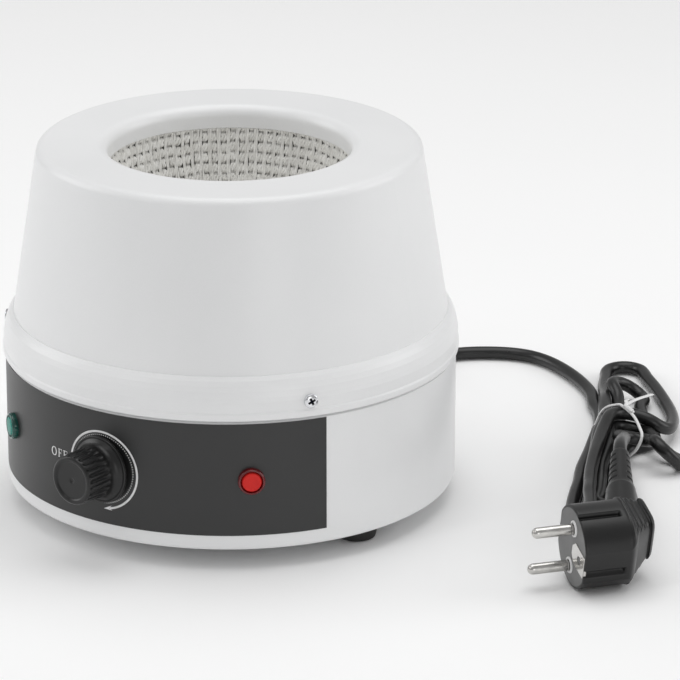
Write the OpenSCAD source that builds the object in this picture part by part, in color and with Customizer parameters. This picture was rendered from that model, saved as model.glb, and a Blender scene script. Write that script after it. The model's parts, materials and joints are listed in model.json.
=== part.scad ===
// Laboratory heating mantle for a round-bottom flask, with its mains lead.
// Frame: millimetres, Z up, feet on Z = 0, the knob's side faces -Y.

/* [Body] */
// Outer radius of the base wall
base_r = 100; // [80:1:140]
// Height of the base wall's lower edge above the bench
foot_h = 9; // [5:1:20]
// Height of the flat top above the bench
top_z = 162; // [120:1:220]
// Sheet thickness of the shells
sheet = 1.2; // [0.8:0.1:2.5]
// Radius of the throat that the flask goes into
throat_r = 53.4; // [30:0.2:80]
// Depth of the rolled lip below the flat top
lip_depth = 9.9; // [5:0.1:20]

/* [Panel] */
// Half width of the control panel label in degrees
panel_half = 57.7; // [30:0.1:80]
// Lower edge of the label
panel_z0 = 16; // [10:0.5:30]
// Upper edge of the label
panel_z1 = 66.9; // [50:0.1:68]
// Height of the knob and the two lamps
ctrl_z = 41.2; // [30:0.1:55]
// Azimuth of the lamps either side of the knob
lamp_az = 38.6; // [20:0.1:50]

/* [Knob] */
// Radius of the knob's skirt
skirt_r = 15.05; // [10:0.05:25]
// Radius of the fluted grip
grip_r = 10.3; // [6:0.1:18]
// Distance of the knob's face from the panel
knob_out = 19.5; // [10:0.1:30]
// Yaw of the control's axis from the radius, in degrees
knob_yaw = -6.5; // [-10:0.5:10]
// Turn of the knob from its OFF mark
knob_turn = 0; // [0:1:270]
// Number of flutes round the grip
flutes = 18; // [8:1:36]

/* [Feet] */
// Pitch radius of the three feet
foot_pr = 81.5; // [50:0.5:95]
// Radius of a foot where it stands
foot_r = 8.5; // [5:0.5:15]

/* [Cord] */
// Diameter of the mains lead
cord_d = 6; // [4:0.5:10]

/* [Hidden] */

// feet and screw positions, azimuth 0 is -Y and grows towards +X
foot_az = [75.5, -44.5, 195.5];
screw_az = [53.35, -66.65, 173.35];
post_az = [15.5, 135.5, 255.5];
screw_z = 75.7;
bowl_z = 152;
bowl_r = 53.6;
cone_dr = 0.1547;
gland_z = 28;

// lead from the gland to the hank: along the bench on the right
lead = [[0, 130, 28], [0, 136, 28], [-0.5, 143, 26], [-2, 151, 20.5], [-5, 160, 13],
  [-8, 168, 7], [-10, 177, 3.6], [-9, 187, 3.1], [-4, 196, 3.1], [3, 203, 3.1],
  [12, 209, 3.1], [22, 213.5, 3.1], [33, 214.5, 3.1], [44, 211, 3.1],
  [56, 204.5, 3.1], [67, 197, 3.1], [77, 188.5, 3.1], [86, 179.5, 3.1], [94, 170, 3.1]];
// lead from the plug back to the hank
tail = [[170.8, 50, 33.7], [168, 54.8, 35], [163, 65, 33.5], [156, 80, 28.5],
  [149, 95, 22], [144, 108, 16.5], [140, 119, 12]];
// outline of the big loop, the small loop and the bundle, on the bench
loop_a = [[99, 166], [86, 188], [76, 210], [73, 221], [80, 226], [101, 209],
  [123, 184], [137, 158], [138, 145]];
loop_b = [[106, 166], [96, 187], [98, 193], [114, 173], [129, 154]];

// plug: middle between the pin roots, and its turn
plug_at = [187.5, -20.9, 18.3];
plug_rot = [75, 0, -130.5];
plug_r = 18.2;
pin_gap = 19;
exit_tilt = 18.6;

// the azimuth turn that brings -Y to azimuth a
module at_az(a) { rotate([0, 0, a]) children(); }
// places children with +Z pointing out of the wall at azimuth a, height z, radius r
module on_wall(a, z, r) { rotate([0, 0, a]) translate([0, -r, z]) rotate([90, 0, 0]) children(); }
// same for the control, which is turned by the yaw
module on_control() {
  translate([0, -(base_r + 0.3), ctrl_z]) rotate([0, 0, knob_yaw]) rotate([90, 0, 0]) children();
}
module tube(ro, ri, h) { difference() { cylinder(r = ro, h = h, $fn = 96); translate([0, 0, -1]) cylinder(r = ri, h = h + 2, $fn = 96); } }
module stadium(p, q, r) {
  d = q - p;
  translate(p) circle(r = r + 0.2, $fn = 48);
  translate(q) circle(r = r + 0.2, $fn = 48);
  translate(p) rotate([0, 0, atan2(d[1], d[0])]) translate([0, -r]) square([norm(d), 2 * r]);
}
module band(pts, r) { for (i = [0 : len(pts) - 2]) stadium(pts[i], pts[i + 1], r); }

// sweep of a round section along a list of points
function unit(v) = v / norm(v);
function tang(p, i) = unit(i == 0 ? p[1] - p[0] : i == len(p) - 1 ? p[i] - p[i - 1]
  : unit(p[i] - p[i - 1]) + unit(p[i + 1] - p[i]));
function side(t) = unit(cross([0, 0, 1], t));
function ring(c, t, r, n) = [for (k = [0 : n - 1]) let (s = side(t), u = cross(t, s), a = 360 * k / n)
  c + r * (cos(a) * s + sin(a) * u)];
module sweep(p, r, n) {
  m = len(p);
  polyhedron(
    points = [for (i = [0 : m - 1]) each ring(p[i], tang(p, i), r, n)],
    faces = concat(
      [[for (k = [0 : n - 1]) k]],
      [for (i = [0 : m - 2]) for (k = [0 : n - 1])
        [i * n + k, (i + 1) * n + k, (i + 1) * n + (k + 1) % n, i * n + (k + 1) % n]],
      [[for (k = [0 : n - 1]) m * n - 1 - k]]),
    convexity = 6);
}

// arc points in the (radius, height) plane
function arc(c, r, a0, a1, n) = [for (k = [0 : n]) let (a = a0 + (a1 - a0) * k / n) c + r * [cos(a), sin(a)]];

// ---- body ----
module base_housing() {
  color([0.9, 0.9, 0.9])
  difference() {
    rotate_extrude($fn = 128)
      polygon(concat(
        [[72, foot_h]],
        arc([base_r - 2, foot_h + 2], 2, -90, 0, 6),
        [[base_r, 67], [base_r - 1, 68], [base_r - 1, 81], [base_r - 2.2, 81], [base_r - 2.2, 67.6],
         [base_r - sheet, 66.6]],
        arc([base_r - 2, foot_h + 2], 2 - sheet, 0, -90, 4),
        [[72, foot_h + sheet]]));
    for (a = screw_az) on_wall(a, screw_z, base_r - 6) cylinder(r = 2.1, h = 12, $fn = 24);
    for (a = foot_az) at_az(a) translate([0, -foot_pr, foot_h - 1]) cylinder(r = 2.1, h = 4, $fn = 24);
    on_control() translate([0, 0, -6]) cylinder(r = 4.6, h = 12, $fn = 32);
    for (s = [-1, 1]) on_wall(s * lamp_az, ctrl_z, base_r - 6) cylinder(r = 5, h = 12, $fn = 32);
    on_wall(180, gland_z, base_r - 6) cylinder(r = 7, h = 12, $fn = 32);
  }
}
module bottom_plate() {
  color([0.75, 0.76, 0.78])
  difference() {
    translate([0, 0, foot_h + sheet]) cylinder(r = 95, h = sheet, $fn = 128);
    for (a = foot_az) at_az(a) translate([0, -foot_pr, foot_h]) cylinder(r = 2.1, h = 5, $fn = 24);
    for (a = post_az) at_az(a) translate([0, -62, foot_h]) cylinder(r = 1.6, h = 5, $fn = 24);
    for (a = [0 : 30 : 330]) rotate([0, 0, a]) for (x = [36, 46]) translate([x - 1.5, -7, foot_h])
      cube([3, 14, 5]);
  }
}
module upper_shell() {
  cone0 = base_r - 4.25;      // radius at z = 90
  rt = cone0 - cone_dr * (top_z - 90);
  color([0.92, 0.92, 0.92])
  difference() {
    rotate_extrude($fn = 160)
      polygon(concat(
        [[base_r + 0.1, 68.3]],
        arc([base_r + 0.4, 69.2], 0.9, -90, 0, 4),
        [[base_r + 1.3, 71.2], [base_r + 0.9, 72], [base_r + 0.9, 76.6], [base_r + 0.6, 78.6],
         [base_r, 81.3], [base_r - 0.8, 83.6], [base_r - 1.8, 85.5], [base_r - 3.2, 87],
         [cone0 + cone_dr * 3, 87.1]],
        arc([rt - 3.43, top_z - 4], 4, 8.8, 90, 8),
        arc([throat_r + 5, top_z - 5], 5, 90, 180, 10),
        [[throat_r, top_z - lip_depth], [throat_r + sheet, top_z - lip_depth]],
        arc([throat_r + 5, top_z - 5], 5 - sheet, 180, 90, 8),
        arc([rt - 3.43, top_z - 4], 4 - sheet, 90, 8.8, 6),
        [[cone0 + cone_dr * 4 - sheet, 85.9], [base_r - 3.7, 85.9], [base_r - 2.7, 84.9],
         [base_r - 1.7, 83.1], [base_r - 0.85, 81.2], [base_r - 0.3, 78.5], [base_r + 0.1, 76.4]]));
    for (a = screw_az) on_wall(a, screw_z, base_r - 6) cylinder(r = 2.1, h = 12, $fn = 24);
  }
}
module panel_label() {
  color([0.24, 0.25, 0.27])
  difference() {
    rotate_extrude(start = -90 - panel_half, angle = 2 * panel_half, $fn = 128)
      translate([base_r, panel_z0]) square([0.3, panel_z1 - panel_z0]);
    on_control() translate([0, 0, -6]) cylinder(r = 4.6, h = 12, $fn = 32);
    for (s = [-1, 1]) on_wall(s * lamp_az, ctrl_z, base_r - 6) cylinder(r = 5, h = 12, $fn = 32);
  }
}

// ---- control ----
module knob() {
  color([0.08, 0.08, 0.09])
  on_control() rotate([0, 0, -knob_turn])
  difference() {
    union() {
      translate([0, 0, 1]) cylinder(r = skirt_r, h = 1.4, $fn = 96);
      translate([0, 0, 2.4]) cylinder(r1 = skirt_r - 0.2, r2 = skirt_r - 2.6, h = 2.2, $fn = 96);
      translate([0, 0, 4.6]) cylinder(r1 = skirt_r - 2.6, r2 = grip_r + 0.2, h = 1.6, $fn = 96);
      difference() {
        translate([0, 0, 6.1]) cylinder(r1 = grip_r + 0.4, r2 = grip_r, h = knob_out - 6.9, $fn = 96);
        for (k = [0 : flutes - 1]) rotate([0, 0, 360 * k / flutes])
          translate([grip_r + 1.05, 0, 6.2]) cylinder(r = 1.3, h = knob_out, $fn = 16);
      }
      translate([0, 0, knob_out - 0.85]) cylinder(r1 = grip_r - 0.3, r2 = grip_r - 0.9, h = 0.85, $fn = 96);
    }
    translate([0, 0, knob_out - 0.7]) cylinder(r = 7.6, h = 2, $fn = 64);
    translate([0, 0, 0]) cylinder(r = 8, h = 5.6, $fn = 64);
    translate([0, 0, 5]) cylinder(r = 4.5, h = 11.5, $fn = 48);
    translate([0, 0, 11]) rotate([90, 0, 0]) cylinder(r = 1.5, h = 14, $fn = 24);
  }
}
module knob_insert() {
  color([0.8, 0.65, 0.3])
  on_control() rotate([0, 0, -knob_turn])
  difference() {
    translate([0, 0, 5.6]) cylinder(r = 4.5, h = 10.9, $fn = 48);
    translate([0, 0, 5]) cylinder(r = 3, h = 11, $fn = 48);
    translate([0, 0, 11]) rotate([90, 0, 0]) cylinder(r = 1.5, h = 14, $fn = 24);
  }
}
module knob_set_screw() {
  color([0.6, 0.6, 0.62])
  on_control() rotate([0, 0, -knob_turn])
  translate([0, 0, 11]) rotate([90, 0, 0])
  difference() {
    translate([0, 0, 3]) cylinder(r = 1.5, h = 5.5, $fn = 24);
    translate([-0.3, -2, 7.6]) cube([0.6, 4, 2]);
  }
}
module pot_shaft() {
  color([0.75, 0.75, 0.76])
  on_control() rotate([0, 0, -knob_turn])
    translate([0, 0, -12]) cylinder(r = 3, h = 28, $fn = 48);
}
module pot_body() {
  color([0.2, 0.22, 0.2])
  on_control()
  difference() {
    union() {
      translate([0, 0, -14]) cylinder(r = 8.2, h = 10.6, $fn = 64);
      translate([0, 0, -3.5]) cylinder(r = 3.5, h = 8.6, $fn = 48);
    }
    translate([0, 0, -12]) cylinder(r = 3.05, h = 20, $fn = 48);
    for (x = [-5, 0, 5]) translate([x - 0.9, -10.4, -9.4]) cube([1.8, 5, 0.5]);
  }
}
module pot_washer() {
  color([0.7, 0.7, 0.7])
  on_control() translate([0, 0, 0.95]) tube(6.4, 3.6, 0.7);
}
module pot_nut() {
  color([0.7, 0.68, 0.6])
  on_control() translate([0, 0, 1.65]) difference() {
    cylinder(r = 5.8, h = 2.4, $fn = 6);
    translate([0, 0, -1]) cylinder(r = 3.5, h = 5, $fn = 48);
  }
}
module pot_terminals() {
  color([0.8, 0.75, 0.6])
  on_control() for (x = [-5, 0, 5]) translate([x - 0.9, -15.4, -9.4]) cube([1.8, 10, 0.5]);
}

// ---- lamps ----
module lamp_lens(a) {
  on_wall(a, ctrl_z, base_r + 0.35) {
    cylinder(r = 5.9, h = 1, $fn = 64);
    translate([0, 0, 1]) cylinder(r1 = 5.5, r2 = 4.4, h = 1.7, $fn = 64);
  }
}
module lamp_body(a) {
  on_wall(a, ctrl_z, base_r + 0.35) {
    translate([0, 0, -15]) cylinder(r = 4.9, h = 15, $fn = 48);
    for (x = [-2.4, 1.9]) translate([x, -0.9, -21]) cube([0.5, 1.8, 6]);
  }
}
module green_lamp_lens() { color([0.1, 0.6, 0.2]) lamp_lens(-lamp_az); }
module green_lamp_body() { color([0.85, 0.85, 0.8]) lamp_body(-lamp_az); }
module red_lamp_lens() { color([0.85, 0.08, 0.06]) lamp_lens(lamp_az); }
module red_lamp_body() { color([0.85, 0.85, 0.8]) lamp_body(lamp_az); }
module lamp_nuts() {
  color([0.7, 0.7, 0.72])
  for (s = [-1, 1]) on_wall(s * lamp_az, ctrl_z, base_r + 0.35) translate([0, 0, -4.6]) difference() {
    cylinder(r = 7.2, h = 2.5, $fn = 6);
    translate([0, 0, -1]) cylinder(r = 4.9, h = 5, $fn = 48);
  }
}

// ---- heating bowl ----
module heating_bowl() {
  color([0.85, 0.84, 0.8])
  difference() {
    translate([0, 0, bowl_z]) sphere(r = bowl_r + 3.4, $fn = 96);
    translate([0, 0, bowl_z]) sphere(r = bowl_r, $fn = 96);
    translate([0, 0, bowl_z]) cylinder(r = 90, h = 90);
  }
}
module heating_element() {
  color([0.5, 0.5, 0.52])
  for (q = [22, 36, 50, 64, 78]) translate([0, 0, bowl_z - (bowl_r + 4.2) * cos(q)])
    rotate_extrude($fn = 64) translate([(bowl_r + 4.2) * sin(q), 0]) circle(r = 0.7, $fn = 16);
}
module backing_cloth() {
  color([0.8, 0.8, 0.75])
  difference() {
    translate([0, 0, bowl_z]) sphere(r = bowl_r + 6.2, $fn = 96);
    translate([0, 0, bowl_z]) sphere(r = bowl_r + 5.0, $fn = 96);
    translate([0, 0, bowl_z]) cylinder(r = 90, h = 90);
    translate([0, 0, 60]) cylinder(r = 6, h = 60, $fn = 32);
  }
}
module insulation_pack() {
  color([0.93, 0.9, 0.8])
  difference() {
    translate([0, 0, 86]) cylinder(r = 80, h = 71, $fn = 96);
    translate([0, 0, bowl_z]) sphere(r = bowl_r + 6.4, $fn = 96);
    translate([0, 0, bowl_z]) cylinder(r = bowl_r + 6.4, h = 20, $fn = 96);
    translate([0, 0, 60]) cylinder(r = 6, h = 60, $fn = 32);
  }
}
module support_dish() {
  color([0.78, 0.79, 0.8])
  difference() {
    union() {
      translate([0, 0, 84.8]) cylinder(r = 84, h = 1.2, $fn = 96);
      translate([0, 0, 84.8]) tube(84, 82.8, 11.2);
    }
    translate([0, 0, 80]) cylinder(r = 6, h = 10, $fn = 32);
  }
}
module standoffs() {
  color([0.7, 0.7, 0.72])
  for (a = post_az) at_az(a) translate([0, -62, foot_h + 2 * sheet])
    cylinder(r = 4, h = 84.8 - foot_h - 2 * sheet, $fn = 6);
}

// ---- inside the base ----
board_z = 24;
module control_board() {
  color([0.1, 0.35, 0.2])
  difference() {
    translate([-22, -30, board_z]) cube([56, 44, 1.6]);
    for (x = [-18, 30]) for (y = [-26, 10]) translate([x, y, board_z - 1]) cylinder(r = 1.6, h = 4, $fn = 24);
  }
}
module board_spacers() {
  color([0.85, 0.85, 0.85])
  for (x = [-18, 30]) for (y = [-26, 10]) translate([x, y, foot_h + 2 * sheet])
    cylinder(r = 3, h = board_z - foot_h - 2 * sheet, $fn = 24);
}
module heat_sink() {
  color([0.6, 0.62, 0.64])
  translate([8, -6, board_z + 1.6]) {
    cube([22, 2.5, 24]);
    for (k = [0 : 4]) translate([1 + 4.6 * k, 2.5, 0]) cube([1.4, 9, 24]);
  }
}
module triac() {
  color([0.12, 0.12, 0.12])
  translate([14, -10.6, board_z + 5]) {
    cube([10, 4.6, 9]);
    translate([0, 3.3, 9]) cube([10, 1.3, 6]);
    for (x = [1.6, 4.6, 7.6]) translate([x, 1.6, -3.4]) cube([0.8, 0.6, 3.4]);
  }
}
module capacitor() {
  color([0.75, 0.6, 0.2])
  translate([-16, -20, board_z + 1.6]) cube([18, 8, 14]);
}
module terminal_block() {
  color([0.9, 0.9, 0.88])
  difference() {
    translate([-15, 46, foot_h + 2 * sheet]) cube([30, 16, 14]);
    for (x = [-10, 0, 10]) translate([x, 54, 20]) cylinder(r = 2.4, h = 10, $fn = 24);
    for (x = [-10, 0, 10]) translate([x, 40, 16]) rotate([-90, 0, 0]) cylinder(r = 1.8, h = 30, $fn = 24);
  }
}
module earth_stud() {
  color([0.8, 0.68, 0.35])
  translate([30, 60, foot_h + 2 * sheet]) {
    cylinder(r = 2, h = 14, $fn = 24);
    cylinder(r = 4, h = 3, $fn = 6);
    translate([0, 0, 3]) cylinder(r = 4.5, h = 0.8, $fn = 32);
    translate([0, 0, 3.8]) cylinder(r = 4, h = 3, $fn = 6);
  }
}
module heater_leads() {
  color([0.9, 0.88, 0.8])
  for (x = [-2.5, 2.5]) sweep([[x, 0, 93], [x, 0.5, 82], [x * 1.4, 8, 72], [x * 2, 22, 60],
    [x * 2.6, 33, 44], [x * 3.4, 37, 26], [x * 4, 40.5, 17.5], [x * 4, 45, 16], [x * 4, 50, 16]], 1.2, 8);
}
module mains_wires() {
  color([0.3, 0.4, 0.6])
  for (k = [-1, 0, 1]) sweep([[k * 2.4, 91.9, gland_z], [k * 2.4, 89, gland_z], [k * 2.6, 84, gland_z - 1.5], [k * 5, 78, 22],
    [k * 8, 70, 17.5], [k * 10, 63, 16], [k * 10, 57, 16]], 1.1, 8);
}
module cord_clamp() {
  color([0.15, 0.15, 0.15])
  difference() {
    translate([-11, 80.5, foot_h + 2 * sheet]) cube([22, 7, 26]);
    translate([0, 90, gland_z - 1]) rotate([90, 0, 0]) cylinder(r = 7, h = 12, $fn = 32);
  }
}

// ---- fasteners and feet ----
module shell_screws() {
  color([0.8, 0.8, 0.82])
  for (a = screw_az) on_wall(a, screw_z, base_r + 0.95) difference() {
    union() {
      translate([0, 0, -9]) cylinder(r = 2, h = 9.2, $fn = 24);
      cylinder(r = 3, h = 0.8, $fn = 48);
      translate([0, 0, 0.8]) cylinder(r1 = 3, r2 = 1.9, h = 0.9, $fn = 48);
    }
    for (q = [0, 90]) rotate([0, 0, q]) translate([-1.7, -0.4, 0.5]) cube([3.4, 0.8, 3]);
  }
}
module clip_nuts() {
  color([0.6, 0.6, 0.62])
  for (a = screw_az) on_wall(a, screw_z, base_r - 6.5) difference() {
    translate([-5, -4.5, 0]) cube([10, 9, 3.6]);
    translate([0, 0, -1]) cylinder(r = 2, h = 6, $fn = 24);
  }
}
module feet() {
  color([0.07, 0.07, 0.07])
  for (a = foot_az) at_az(a) translate([0, -foot_pr, 0])
    rotate_extrude($fn = 64)
      polygon(concat([[5, 0]], arc([foot_r - 1.2, 1.2], 1.2, -90, -10, 4),
        [[foot_r + 2, foot_h], [2.1, foot_h], [2.1, 4.2], [5, 4.2]]));
}
module foot_screws() {
  color([0.7, 0.7, 0.72])
  for (a = foot_az) at_az(a) translate([0, -foot_pr, 0]) difference() {
    union() {
      translate([0, 0, 2.2]) cylinder(r = 3.7, h = 2, $fn = 48);
      translate([0, 0, 4.2]) cylinder(r = 2, h = 12, $fn = 24);
    }
    for (q = [0, 90]) rotate([0, 0, q]) translate([-2, -0.4, 2]) cube([4, 0.8, 1.2]);
  }
}
module foot_nuts() {
  color([0.7, 0.7, 0.72])
  for (a = foot_az) at_az(a) translate([0, -foot_pr, foot_h + 2 * sheet]) difference() {
    cylinder(r = 4, h = 3.2, $fn = 6);
    translate([0, 0, -1]) cylinder(r = 2, h = 6, $fn = 24);
  }
}

// ---- lead and plug ----
module cord_gland() {
  color([0.1, 0.1, 0.1])
  translate([0, 0, gland_z]) rotate([-90, 0, 0]) difference() {
    union() {
      translate([0, 0, 92]) cylinder(r = 8.4, h = 6.2, $fn = 48);
      translate([0, 0, 98]) cylinder(r = 6.9, h = 2.8, $fn = 48);
      translate([0, 0, 100.6]) cylinder(r = 9, h = 2.4, $fn = 48);
      translate([0, 0, 103]) cylinder(r1 = 6.2, r2 = 4.1, h = 27, $fn = 48);
    }
    for (k = [0 : 3]) for (s = [0, 180]) rotate([0, 0, s + 90 * (k % 2)])
      translate([-8, 3.4, 107 + 5 * k]) cube([16, 8, 1.8]);
  }
}
module power_cord() { color([0.12, 0.12, 0.12]) sweep(lead, cord_d / 2, 10); }
module cord_tail() { color([0.12, 0.12, 0.12]) sweep(tail, cord_d / 2, 10); }
module cord_bundle() {
  color([0.12, 0.12, 0.12]) {
    translate([0, 0, 0.9]) linear_extrude(height = 15) stadium([121, 143], [168, 35], 16);
    translate([0, 0, 0.9]) linear_extrude(height = 7) { band(loop_a, 3.4); band(loop_b, 3.4); }
    translate([0, 0, 0.9]) linear_extrude(height = 11) stadium([138, 134], [160, 121], 6);
  }
}
// frame across the bundle at the tie: x across, y up the bundle
module on_tie() { translate([125.7, 129.9, 0]) rotate([0, 0, -34.4]) children(); }
module twist_tie() {
  color([0.93, 0.93, 0.92]) {
    on_tie() rotate([90, 0, 0]) translate([0, 0, -1]) linear_extrude(height = 2) difference() {
      translate([-21, 0]) square([45.5, 21]);
      translate([-20, 0.8]) square([43.5, 19.4]);
    }
    translate([124.5, 129.6, 20.4]) rotate([-90, 0, -4]) cylinder(r = 0.6, h = 32, $fn = 16);
  }
}
// local frame of the plug: x out along the pins, y along the line of pins, z the lead's side
module plug_frame() { translate(plug_at) rotate(plug_rot) children(); }
module plug_body() {
  color([0.1, 0.1, 0.1])
  plug_frame() difference() {
    union() {
      intersection() {
        translate([-21, 0, 0]) rotate([0, 90, 0]) cylinder(r = plug_r, h = 21, $fn = 96);
        translate([-60, -30, -16.6]) cube([80, 60, 33.2]);
      }
      // wedge behind the round part, cut by the slope under it and the two finger facets
      difference() {
        translate([-35.9, -14.5, -14.5]) cube([15.4, 29, 31]);
        translate([-21, -30, -14.5]) rotate([0, 46, 0]) translate([-60, 0, -30]) cube([80, 60, 30]);
        for (s = [-1, 1]) translate([-21, s * 14.5, -30]) rotate([0, 0, s * 19]) translate([-40, s > 0 ? 0 : -20, 0]) cube([60, 20, 60]);
      }
      // rim at the back
      translate([-36, -10.4, -2.4]) cube([1.9, 20.8, 19.4]);
      translate([-22.6, 0, 0]) rotate([0, -exit_tilt, 0]) {
        translate([0, 0, 6]) cylinder(r1 = 10.6, r2 = 7, h = 30, $fn = 64);
        translate([0, 0, 35.9]) cylinder(r1 = 5.8, r2 = 4, h = 28.1, $fn = 64);
      }
    }
    // grip grooves on the flank
    for (s = [-1, 1]) translate([-20, s * 11.2 - 1.5, -20]) cube([17.5, 3, 5.2]);
    // seat of the earth contact
    translate([-1.2, -5.2, -15.6]) cube([5, 10.4, 14.2]);
    // pin roots
    for (s = [-1, 1]) translate([-6, s * pin_gap / 2, 0]) rotate([0, 90, 0]) cylinder(r = 2.1, h = 12, $fn = 32);
    for (s = [-1, 1]) translate([-0.6, s * pin_gap / 2, 0]) rotate([0, 90, 0]) cylinder(r = 3.6, h = 12, $fn = 32);
    // slots of the strain relief
    translate([-22.6, 0, 0]) rotate([0, -exit_tilt, 0]) for (k = [0 : 4]) for (s = [-1, 1])
      translate([s > 0 ? 2.2 : -10.2, -9, 40 + 4.6 * k]) cube([8, 18, 1.7]);
  }
}
module plug_pins() {
  color([0.8, 0.78, 0.74])
  plug_frame() for (s = [-1, 1]) translate([0, s * pin_gap / 2, 0]) rotate([0, 90, 0]) {
    translate([0, 0, -6]) cylinder(r = 2.1, h = 6.9, $fn = 32);
    translate([0, 0, 0.8]) cylinder(r = 2.4, h = 15.8, $fn = 32);
    translate([0, 0, 16.6]) cylinder(r1 = 2.4, r2 = 1.3, h = 2.4, $fn = 32);
  }
}
module pin_collars() {
  color([0.9, 0.9, 0.9])
  plug_frame() for (s = [-1, 1]) translate([-0.6, s * pin_gap / 2, 0]) rotate([0, 90, 0])
    difference() {
      cylinder(r = 3.6, h = 0.6, $fn = 32);
      translate([0, 0, -1]) cylinder(r = 2.1, h = 4, $fn = 32);
    }
}
module earth_contact() {
  color([0.8, 0.8, 0.8])
  plug_frame() difference() {
    translate([-1.2, -5.2, -15.6]) cube([1.6, 10.4, 14.2]);
    translate([-3, 0, -10]) rotate([0, 90, 0]) cylinder(r = 2.0, h = 6, $fn = 32);
    // slanted inner corners
    for (s = [-1, 1]) translate([-3, s * 5.2, -1.4]) rotate([45, 0, 0]) translate([0, -2.2, -2.2]) cube([6, 4.4, 4.4]);
  }
}

base_housing();
bottom_plate();
upper_shell();
panel_label();
knob();
knob_insert();
knob_set_screw();
pot_shaft();
pot_body();
pot_washer();
pot_nut();
pot_terminals();
green_lamp_lens();
green_lamp_body();
red_lamp_lens();
red_lamp_body();
lamp_nuts();
heating_bowl();
heating_element();
backing_cloth();
insulation_pack();
support_dish();
standoffs();
control_board();
board_spacers();
heat_sink();
triac();
capacitor();
terminal_block();
earth_stud();
heater_leads();
mains_wires();
shell_screws();
clip_nuts();
feet();
foot_screws();
foot_nuts();
cord_gland();
cord_clamp();
power_cord();
cord_bundle();
cord_tail();
twist_tie();
plug_body();
plug_pins();
pin_collars();
earth_contact();
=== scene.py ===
import json
import math

import bpy
import numpy as np
from mathutils import Matrix, Vector


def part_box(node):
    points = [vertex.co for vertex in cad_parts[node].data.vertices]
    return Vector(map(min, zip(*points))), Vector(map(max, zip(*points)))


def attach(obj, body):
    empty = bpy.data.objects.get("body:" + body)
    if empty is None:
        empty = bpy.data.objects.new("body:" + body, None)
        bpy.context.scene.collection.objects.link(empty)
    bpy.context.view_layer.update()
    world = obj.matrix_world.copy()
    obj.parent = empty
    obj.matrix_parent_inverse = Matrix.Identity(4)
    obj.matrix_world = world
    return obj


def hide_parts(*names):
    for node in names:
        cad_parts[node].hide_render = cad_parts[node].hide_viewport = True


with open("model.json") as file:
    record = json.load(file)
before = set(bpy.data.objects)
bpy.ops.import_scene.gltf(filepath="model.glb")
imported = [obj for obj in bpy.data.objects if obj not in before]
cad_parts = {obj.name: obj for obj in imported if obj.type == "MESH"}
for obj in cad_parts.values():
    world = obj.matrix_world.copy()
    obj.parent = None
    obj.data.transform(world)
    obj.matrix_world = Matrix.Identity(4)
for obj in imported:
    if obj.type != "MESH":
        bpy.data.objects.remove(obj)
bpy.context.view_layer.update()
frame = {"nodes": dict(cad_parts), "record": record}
NODES = frame["nodes"]
MM = 0.001


# ---------------------------------------------------------------- camera
def rows(m):
    return Matrix([Vector(r) for r in m])


cam_data = bpy.data.cameras.new("camera")
cam_data.sensor_fit = "HORIZONTAL"
cam_data.sensor_width = 36.0
cam_data.lens = 36.0 * 4573.28 / 680.0
cam_data.clip_start, cam_data.clip_end = 0.05, 60.0
camera = bpy.data.objects.new("camera", cam_data)
bpy.context.scene.collection.objects.link(camera)
right = Vector((0.842991, 0.537928, -0.000659))
up = Vector((-0.179021, 0.281699, 0.942654))
back = Vector((0.507266, -0.794531, 0.333770))
pose = rows(((right.x, up.x, back.x), (right.y, up.y, back.y), (right.z, up.z, back.z)))
camera.matrix_world = Matrix.Translation((1.073615, -1.591700, 0.749160)) @ pose.to_4x4()
bpy.context.scene.camera = camera


# ---------------------------------------------------------------- mesh helpers
def add(name, data, body="mantle"):
    o = bpy.data.objects.new(name, data)
    bpy.context.scene.collection.objects.link(o)
    if body:
        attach(o, body)
    return o


def mesh(name, verts, faces, body="mantle", smooth=True, mats=()):
    """verts in mm, in the row frame."""
    m = bpy.data.meshes.new(name)
    v = np.asarray(verts, float).reshape(-1, 3) * MM
    m.from_pydata([tuple(map(float, p)) for p in v], [], [tuple(int(i) for i in f) for f in faces])
    m.validate()
    m.update()
    if smooth:
        m.polygons.foreach_set("use_smooth", [True] * len(m.polygons))
    for t in mats:
        m.materials.append(t)
    return add(name, m, body)


class Build:
    """Collects vertices and faces of one piece."""

    def __init__(self):
        self.v, self.f, self.m, self.n = [], [], [], 0
        self.a = []

    def put(self, v, f, mat=0, attr=None):
        v = np.asarray(v, float).reshape(-1, 3)
        self.v.append(v)
        self.f += [tuple(int(i) + self.n for i in q) for q in f]
        self.m += [mat] * len(f)
        self.a.append(np.zeros(len(v)) if attr is None else np.asarray(attr, float).reshape(-1))
        self.n += len(v)

    def done(self, name, body="mantle", mats=(), smooth=True, attr=None, flip=False, move=None):
        v = np.concatenate(self.v)
        if move is not None:
            v = move(v)
        f = [q[::-1] for q in self.f] if flip else self.f
        o = mesh(name, v, f, body, smooth, mats)
        if len(o.data.polygons) == len(self.m):
            o.data.polygons.foreach_set("material_index", self.m)
        if attr:
            a = o.data.attributes.new(attr, "FLOAT", "POINT")
            a.data.foreach_set("value", np.concatenate(self.a).astype(np.float32))
        return o


def grid_faces(nu, nv, wrap_u=False, wrap_v=False):
    """faces of a grid of nu x nv points, index = i * nv + j"""
    out = []
    for i in range(nu if wrap_u else nu - 1):
        for j in range(nv if wrap_v else nv - 1):
            a, b = i % nu, (i + 1) % nu
            c, d = j % nv, (j + 1) % nv
            out.append((a * nv + c, b * nv + c, b * nv + d, a * nv + d))
    return out


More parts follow.
